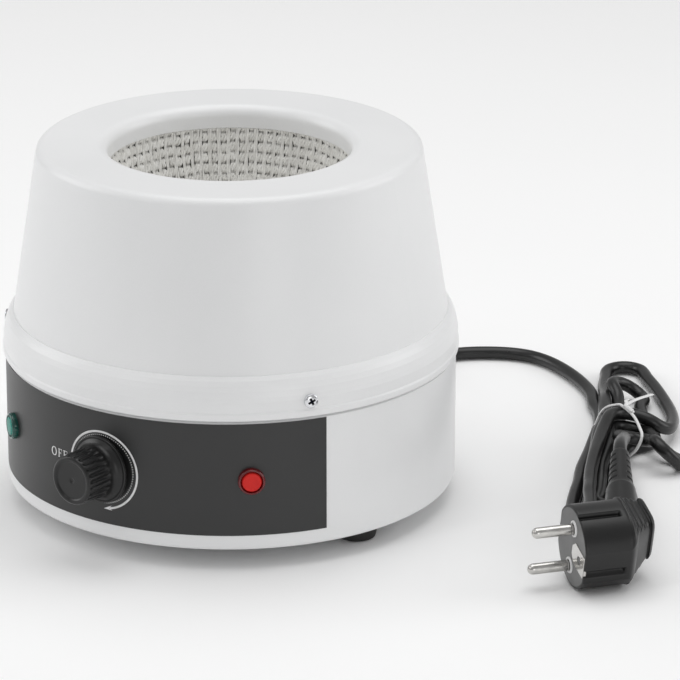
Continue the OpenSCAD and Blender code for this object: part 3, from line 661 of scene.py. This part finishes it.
# ---------------------------------------------------------------- pins with rounded tips
b = Build()
prof = [(2.1, -6.0), (2.1, 0.7), (2.4, 0.85), (2.4, 2.0), (2.4, 5.0), (2.4, 9.0), (2.4, 13.0), (2.4, 16.2)]
prof += [(2.4 * math.cos(t), 16.6 + 2.4 * math.sin(t)) for t in np.linspace(0.05, math.pi / 2 - 0.02, 12)]
v, f = lathe(prof, 48)
for sgn in (-1, 1):
    p = np.stack([v[:, 2], v[:, 0] + sgn * 9.5, v[:, 1]], -1)
    b.put(p, f)
pins = b.done("plug_pins_round", mats=(NICKEL,), move=plug_to_row)
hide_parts("plug_pins")
b = Build()
ringp = [(2.45, -0.5), (2.45, 0.35), (2.6, 0.62), (2.85, 0.75), (3.25, 0.75), (3.5, 0.6), (3.62, 0.3), (3.62, -0.5)]
v, f = lathe(ringp, 48)
for sgn in (-1, 1):
    b.put(np.stack([v[:, 2], v[:, 0] + sgn * 9.5, v[:, 1]], -1), f)
collars = b.done("pin_collar_rings", mats=(WHITE_PLASTIC,), move=plug_to_row)
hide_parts("pin_collars")

# ---------------------------------------------------------------- dial knob
YAW = math.radians(-6.5)


def on_control(v):
    """knob frame (x right, y up, z out of the panel) to the row frame"""
    v = np.asarray(v, float)
    x, y, z = v[..., 0], v[..., 1], v[..., 2]
    c, s = math.cos(YAW), math.sin(YAW)
    return np.stack([x * c + z * s, -100.3 + x * s - z * c, 41.2 + y], -1)


FLUTES = 24
N = FLUTES * 12
prof = [(13.2, 0.7), (14.7, 0.75), (15.0, 0.95), (15.05, 1.3), (15.05, 1.9), (14.95, 2.15), (14.75, 2.3), (14.45, 2.32),
        (14.2, 2.28), (14.12, 2.18), (13.95, 2.18), (13.85, 2.32), (13.6, 2.46), (13.1, 2.78), (12.5, 3.2), (11.95, 3.75),
        (11.5, 4.4), (11.15, 5.1), (10.95, 5.7), (10.8, 6.3), (10.72, 6.9), (10.66, 7.6), (10.6, 9.0), (10.52, 11.0),
        (10.44, 13.0), (10.38, 15.0), (10.34, 17.0), (10.3, 17.9), (10.2, 18.45), (10.0, 18.9), (9.7, 19.2), (9.3, 19.36),
        (8.9, 19.38), (8.55, 19.34), (8.25, 19.2), (8.0, 18.98), (7.8, 18.78), (7.55, 18.7), (7.1, 18.7), (6.0, 18.7),
        (4.5, 18.7), (3.0, 18.7), (1.6, 18.7), (1.15, 18.66), (0.9, 18.5), (0.75, 18.38), (0.4, 18.34), (0.02, 18.33)]


def knob_wobble(j, r, z, ang):
    if 7.2 <= z <= 19.1 and r > 10.75:
        depth = 0.72 * min(1.0, (z - 6.6) / 2.4) * min(1.0, max(0.0, (19.25 - z) / 0.9))
        wave = 0.5 - 0.5 * np.cos(ang * FLUTES)
        return r - depth * wave ** 1.6
    if 14.0 <= r <= 14.5 and z < 2.4:
        return r + 0.10 * np.sign(np.sin(ang * 96))
    return np.full(len(ang), r)


b = Build()
grip = [(r * (1 + 0.065 * min(max((z - 3.2) / 4.0, 0.0), 1.0)), z + 0.5 * min(max((z - 5.0) / 12.0, 0.0), 1.0)) for r, z in prof]
b.put(*lathe(grip, N, wobble=knob_wobble))
# teeth of the fine ring on the skirt
teeth = 120
for i in range(teeth):
    a0 = 2 * math.pi * i / teeth
    w = 2 * math.pi / teeth * 0.27
    v = []
    for rr, zz in ((13.88, 2.2), (14.42, 2.2)):
        for da in (-w, w):
            v.append((rr * math.cos(a0 + da), rr * math.sin(a0 + da), zz))
    for rr, zz in ((13.95, 2.40), (14.36, 2.37)):
        for da in (-w * 0.7, w * 0.7):
            v.append((rr * math.cos(a0 + da), rr * math.sin(a0 + da), zz))
    b.put(v, [(4, 5, 7, 6), (0, 1, 5, 4), (2, 6, 7, 3), (0, 4, 6, 2), (1, 3, 7, 5)])
knob = b.done("dial_knob", body="dial", mats=(BLACK,), move=on_control)
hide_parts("knob")


# ---------------------------------------------------------------- lamps and case screws
def on_wall(v, az, z, out):
    """x sideways, y up, z out of the wall at this angle round the case"""
    v = np.asarray(v, float)
    a = math.radians(az)
    n, t = np.array([math.sin(a), -math.cos(a), 0.0]), np.array([math.cos(a), math.sin(a), 0.0])
    return v[..., 0:1] * t + v[..., 1:2] * np.array([0.0, 0.0, 1.0]) + (out + v[..., 2:3]) * n + np.array([0.0, 0.0, z])


def lamp(name, node, az, rim, disc):
    lo, hi = (np.array(q) * 1000 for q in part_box(node))
    zc = (lo[2] + hi[2]) / 2
    a = math.radians(az)
    n = np.array([math.sin(a), -math.cos(a), 0.0])
    vs = np.array([tuple(q.co) for q in NODES[node].data.vertices]) * 1000
    top = float((vs @ n).max())
    r = float((vs[:, 2].max() - vs[:, 2].min()) / 2)
    h = top - 100.3
    b = Build()
    outer = [(r * 0.97, -3.0), (r, 0.1), (r, h * 0.5), (r * 0.985, h * 0.68), (r * 0.95, h * 0.82), (r * 0.90, h * 0.9),
             (r * 0.86, h * 0.9), (r * 0.82, h * 0.82), (r * 0.785, h * 0.66), (r * 0.76, h * 0.52), (r * 0.735, h * 0.50)]
    inner = [(r * 0.735, h * 0.50), (r * 0.715, h * 0.62), (r * 0.70, h * 0.78), (r * 0.675, h * 0.89), (r * 0.63, h * 0.94),
             (r * 0.5, h * 0.97), (r * 0.35, h * 0.985), (r * 0.2, h * 0.995), (0.02, h)]

    def cells(j, rr, zz, ang):
        return np.full(len(ang), rr)

    v, f = lathe(outer, 96)
    b.put(v, f, 0)
    v, f = lathe(inner, 96, wobble=cells)
    b.put(v, f, 1)
    o = b.done(name, mats=(rim, disc), move=lambda q: on_wall(q, az, zc, 100.3))
    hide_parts(node)
    return o


RED_RIM = finish_of("red_lens_rim", (0.075, 0.001, 0.002), (0.15, 0.002, 0.004), rough=(0.10, 0.18), patch=200.0, grain=1500,
                    bumps=((700, 1, 0.05, 0.0002),), Coat_Weight=0.3, Coat_Roughness=0.08)
RED_DISC = finish_of("red_lens_disc", (0.50, 0.010, 0.009), (0.62, 0.020, 0.014), rough=(0.35, 0.45), patch=260.0, grain=1500,
                     bumps=((900, 1, 0.10, 0.0002),), Specular_IOR_Level=0.25, Emission_Color=(1.0, 0.03, 0.02, 1),
                     Emission_Strength=0.05)
GREEN_RIM = finish_of("green_lens_rim", (0.0, 0.04, 0.03), (0.0, 0.09, 0.07), rough=(0.08, 0.15), patch=200.0, grain=1500,
                      bumps=((700, 1, 0.05, 0.0002),), Coat_Weight=0.4, Coat_Roughness=0.06)
GREEN_DISC = finish_of("green_lens_disc", (0.0, 0.12, 0.09), (0.01, 0.34, 0.26), rough=(0.25, 0.4), patch=700.0, grain=1600,
                       bumps=((1300, 1, 0.35, 0.0003),), Specular_IOR_Level=0.35)
red_lamp = lamp("red_lamp_window", "red_lamp_lens", 38.6, RED_RIM, RED_DISC)
green_lamp = lamp("green_lamp_window", "green_lamp_lens", -38.6, GREEN_RIM, GREEN_DISC)

# three domed cross-head screws
NR, NA = 30, 96
SCREW = finish_of("screw_zinc", (0.66, 0.67, 0.69), (0.80, 0.81, 0.83), rough=(0.12, 0.22), patch=260.0, grain=2600,
                  bumps=((1600, 2, 0.05, 0.0001),), Metallic=1.0, attr=("shade", (0.012, 0.014, 0.02), (1, 1, 1)))
b = Build()
for az, turn in ((53.35, 0.45), (-66.65, 0.2), (173.35, 0.9)):
    rr = np.concatenate([np.linspace(0.0, 2.3, NR), [2.5, 2.7, 2.85, 2.95, 3.0, 3.0]])
    aa = np.arange(NA) * 2 * math.pi / NA
    R, A = np.meshgrid(np.maximum(rr, 0.01), aa, indexing="ij")
    H = 0.75 + 1.0 * np.sqrt(np.maximum(1 - (R / 3.12) ** 2, 0))
    H[-1] = -0.6
    X, Y = R * np.cos(A - turn), R * np.sin(A - turn)
    slot = np.maximum(np.clip((0.52 - np.abs(X)) / 0.16, 0, 1) * np.clip((1.75 - np.abs(Y)) / 0.3, 0, 1),
                      np.clip((0.52 - np.abs(Y)) / 0.16, 0, 1) * np.clip((1.75 - np.abs(X)) / 0.3, 0, 1))
    v = np.stack([R * np.cos(A), R * np.sin(A), H - 1.1 * slot], -1)
    v = on_wall(v, az, 75.7, 101.25)
    f = [q[::-1] for q in grid_faces(len(rr), NA, False, True)]
    # the shade attribute is painted shade: the cross recess is coloured near black where it lies in shadow
    b.put(v.reshape(-1, 3), f, attr=(1 - slot).reshape(-1))
    sh, sf = lathe([(0.02, -9.0), (1.6, -9.0), (2.0, -8.5), (2.0, -0.3), (2.9, -0.3)], 32)
    b.put(on_wall(sh, az, 75.7, 101.25), sf, attr=np.ones(len(sh)))
screws = b.done("case_screws", mats=(SCREW,), attr="shade")
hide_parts("shell_screws")


# ---------------------------------------------------------------- print round the dial
def on_panel(v, lift=0.04):
    """x along the panel, y height, both mm; z out"""
    v = np.asarray(v, float)
    a = v[..., 0] / 100.3
    r = 100.3 + lift + v[..., 2]
    return np.stack([r * np.sin(a), -r * np.cos(a), v[..., 1]], -1)


def ribbon(b, pts, widths, thick=0.05):
    """flat printed line with a slight height"""
    p = np.asarray(pts, float)
    t = np.gradient(p, axis=0)
    t /= np.linalg.norm(t, axis=1)[:, None]
    nrm = np.stack([-t[:, 1], t[:, 0]], -1)
    w = np.broadcast_to(np.asarray(widths, float), (len(p),))[:, None] / 2
    lo, hi = p - nrm * w, p + nrm * w
    n = len(p)
    v = np.zeros((n, 4, 3))
    v[:, 0, :2], v[:, 1, :2] = lo, p - nrm * w * 0.8
    v[:, 2, :2], v[:, 3, :2] = p + nrm * w * 0.8, hi
    v[:, 1, 2] = v[:, 2, 2] = thick
    b.put(v.reshape(-1, 3), grid_faces(n, 4))


b = Build()
AX, AZ, AR = 0.0, 40.4, 17.4
ang = np.radians(np.linspace(166, -78, 160))
ribbon(b, np.stack([AX + AR * np.cos(ang), AZ + AR * np.sin(ang)], -1), 0.95)
tip = np.radians(-88.0)
e = np.radians(-76.0)
tang = np.array([math.sin(e), -math.cos(e)])
nrm2 = np.array([math.cos(e), math.sin(e)])
base = np.array([AX + AR * math.cos(e), AZ + AR * math.sin(e)])
tipp = base + tang * 3.6 + nrm2 * (-0.2)
for sgn in (1, -1):
    q = [base + tang * 0.9, base + nrm2 * 1.15 * sgn + tang * -0.7, tipp]
    v = np.array([(x[0], x[1], 0.05) for x in q])
    b.put(v, [(0, 1, 2) if sgn < 0 else (0, 2, 1)])
# OFF, drawn as strokes
ZB, H = 40.3, 3.8


def bar(x0, z0, x1, z1, w):
    b_pts = np.linspace([x0, z0], [x1, z1], 8)
    ribbon(b, b_pts, w)


a = np.linspace(0, 2 * math.pi, 49)
ox, oz, rx, rz = -28.5, ZB + H / 2, 1.45, H / 2
p = np.stack([ox + rx * np.sin(a), oz + rz * np.cos(a)], -1)
ribbon(b, p, 0.30 + 0.34 * np.abs(np.sin(a)))
for x in (-25.6, -22.2):
    bar(x + 0.45, ZB, x + 0.45, ZB + H, 0.58)
    bar(x - 0.15, ZB + 0.1, x + 1.05, ZB + 0.1, 0.24)
    bar(x - 0.15, ZB + H - 0.12, x + 2.35, ZB + H - 0.12, 0.27)
    bar(x + 2.26, ZB + H, x + 2.26, ZB + H - 0.95, 0.24)
    bar(x + 0.5, ZB + H * 0.52, x + 1.75, ZB + H * 0.52, 0.27)
    bar(x + 1.7, ZB + H * 0.52 + 0.45, x + 1.7, ZB + H * 0.52 - 0.45, 0.22)
for i in range(88):
    t0 = 2 * math.pi * i / 88
    p0 = np.array([AX + 15.2 * math.cos(t0), AZ + 0.6 + 15.2 * math.sin(t0)])
    p1 = np.array([AX + 15.75 * math.cos(t0), AZ + 0.6 + 15.75 * math.sin(t0)])
    ribbon(b, np.linspace(p0, p1, 3), 0.42)
dial_print = b.done("dial_print", mats=(PRINT,), move=on_panel, smooth=False)


# ---------------------------------------------------------------- woven bowl
def weave(name, nb, k0, k1, yarns=5, seg=8, seed=3):
    rng = np.random.default_rng(seed)
    rowh = 4.62 / 53.6
    m = int(round((k1 - k0) * seg)) + 1
    b = Build()
    pitch = 2 * math.pi / nb
    sec = np.array([(-1.0, 0.0), (-0.5, 0.85), (0.5, 0.85), (1.0, 0.0)])
    rowj = rng.normal(0, 1, (nb, yarns, 3))
    lean = rng.normal(0, 0.055, nb)
    face = grid_faces(m, 4)
    for i in range(nb):
        tt = np.linspace(k0, k1, m)
        ph = tt + 0.62 + lean[i]
        fr = ph - np.floor(ph)
        bulge = 1 - np.abs(2 * fr - 1) ** 3.2
        pull = 1 - bulge
        for j in range(yarns):
            rib = j < 2
            dive = 0.25 if rib else 1.35
            cen = (j + 0.5) / yarns - 0.5
            if rib:
                cen = cen + (0.028 if j == 0 else -0.028) * np.cos(math.pi * ph + rowj[i, 0, 1])
                over = 0.22 * np.sin(math.pi * ph + j * math.pi + rowj[i, 0, 1])
            else:
                mid = (2 + (yarns - 2) / 2) / yarns - 0.5
                turn = math.pi * ph + (j - 2) * 2 * math.pi / 3 + 0.5 * rowj[i, 2, 0]
                cen = mid + 0.19 * np.cos(turn) * (1 - 0.35 * pull)
                over = 0.30 * np.sin(turn)
            phi = i * pitch + cen * pitch + rowj[i, j, 0] * 0.02 * pitch + 0.03 * pitch * np.sin(tt * 1.7 + rowj[i, 0, 1] * 3)
            th = tt * rowh
            depth = dive * pull ** 1.3 + over + (0.0 if rib else 0.12) + 0.05 * rowj[i, j, 2]
            rad = 54.05 + np.maximum(depth, -0.05)
            ww = pitch / yarns * 0.5 * (1.34 if rib else 1.52 - 0.25 * pull) * 53.6 * np.cos(th)
            hh = np.minimum(0.55, ww * 0.95)
            v = np.zeros((m, 4, 3))
            for s, (u, h) in enumerate(sec):
                rr = rad - h * hh
                pa = phi + u * ww / (53.6 * np.maximum(np.cos(th), 0.05))
                v[:, s, 0] = rr * np.cos(th) * np.cos(pa)
                v[:, s, 1] = rr * np.cos(th) * np.sin(pa)
                v[:, s, 2] = 152 - rr * np.sin(th)
            v[:, :, 2] = np.minimum(v[:, :, 2], 151.95)
            # painted shade: yarns are darkened where they dip into the row valleys and under crossing yarns; the random
            # factor below is real tone variation
            shade = np.clip(1 - pull ** 1.5 * (0.12 if rib else 0.62) - 0.14 * np.clip(over, 0, 1) / 0.3, 0, 1)
            shade = shade * (0.9 + 0.1 * rng.random())
            b.put(v.reshape(-1, 3), face, attr=np.repeat(shade, 4))
    o = b.done(name, mats=(YARN,), attr="shade")
    return o


# the shade attribute multiplies the yarn colour down to near black: painted shade
YARN = finish_of("glass_yarn", (0.80, 0.79, 0.755), (0.97, 0.965, 0.94), rough=(0.42, 0.6), patch=240.0, grain=5000,
                 bumps=((6000, 2, 0.45, 0.0002), (1400, 2, 0.25, 0.0003)), Sheen_Weight=0.2, Sheen_Roughness=0.4,
                 attr=("shade", (0.16, 0.155, 0.14), (1, 1, 1)))
# painted shade: a dark sheet behind the weave, its dark colour standing for the shadow seen through the gaps between
# yarns
YARN_SHADOW_SHEET = finish_of("glass_yarn_shadow", (0.16, 0.155, 0.14), (0.26, 0.25, 0.23), rough=(0.8, 0.95), patch=240.0,
                      grain=3000, bumps=((3000, 3, 0.5, 0.0003),))
upper = weave("bowl_weave_upper", 80, 0.0, 4.75, seed=3)
middle = weave("bowl_weave_middle", 80, 4.65, 9.4, seed=6)
lower = weave("bowl_weave_lower", 40, 9.3, 14.5, seed=4)
centre = weave("bowl_weave_centre", 16, 14.4, 18.0, seed=5)
# the dark sheet closing the bowl behind the yarns, painted shade for the holes
b = Build()
inner = [(56.4 * math.cos(t), 152 - 56.4 * math.sin(t)) for t in np.linspace(0, math.pi / 2 - 0.01, 40)]
outer = [(57.0 * math.cos(t), 152 - 57.0 * math.sin(t)) for t in np.linspace(math.pi / 2 - 0.01, 0, 40)]
b.put(*lathe(inner + outer + [(53.7, 152.0)], 128, closed=True))
shadow_sheet = b.done("bowl_shadow_sheet", mats=(YARN_SHADOW_SHEET,))
for o in (upper, middle, lower, centre, shadow_sheet):
    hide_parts("heating_bowl")

# ---------------------------------------------------------------- room
def plane(name, size, z, mat):
    m = bpy.data.meshes.new(name)
    m.from_pydata([(-size, -size, z), (size, -size, z), (size, size, z), (-size, size, z)], [], [(0, 1, 2, 3)])
    m.materials.append(mat)
    o = bpy.data.objects.new(name, m)
    bpy.context.scene.collection.objects.link(o)
    return o


FLOOR = finish_of("studio_floor", (0.965, 0.965, 0.965), (0.98, 0.98, 0.98), rough=(0.75, 0.8), patch=1.0, grain=3,
                  bumps=((3, 1, 0.01, 0.0001),), Specular_IOR_Level=0.2)
plane("studio_floor", 14, -0.0002, FLOOR)

world = bpy.data.worlds.new("studio")
bpy.context.scene.world = world
world.use_nodes = True
bg = world.node_tree.nodes["Background"]
bg.inputs[0].default_value = (1.0, 1.0, 1.0, 1)
bg.inputs[1].default_value = 0.43


def area(name, loc, aim, size, power, size_y=None):
    d = bpy.data.lights.new(name, "AREA")
    d.energy = power
    d.shape = "RECTANGLE"
    d.size, d.size_y = size, size_y or size
    o = bpy.data.objects.new(name, d)
    bpy.context.scene.collection.objects.link(o)
    o.location = loc
    o.rotation_mode = "QUATERNION"
    o.rotation_quaternion = (Vector(aim) - Vector(loc)).to_track_quat("-Z", "Y")
    return o


area("top", (0.05, 0.2, 1.6), (0.05, 0.05, 0.05), 1.5, 12)
area("left", (-1.4, -0.5, 0.7), (0, 0, 0.08), 1.0, 6.2)
area("right", (1.3, 1.0, 0.7), (0, 0, 0.08), 1.0, 6)
area("front", (1.5, -1.0, 0.35), (0, 0, 0.06), 0.7, 2.4)
area("strip", (-0.35, -1.15, 1.15), (0.15, 0.0, 0.0), 0.12, 1.3, 1.1)
bpy.context.scene.view_settings.view_transform = "Standard"
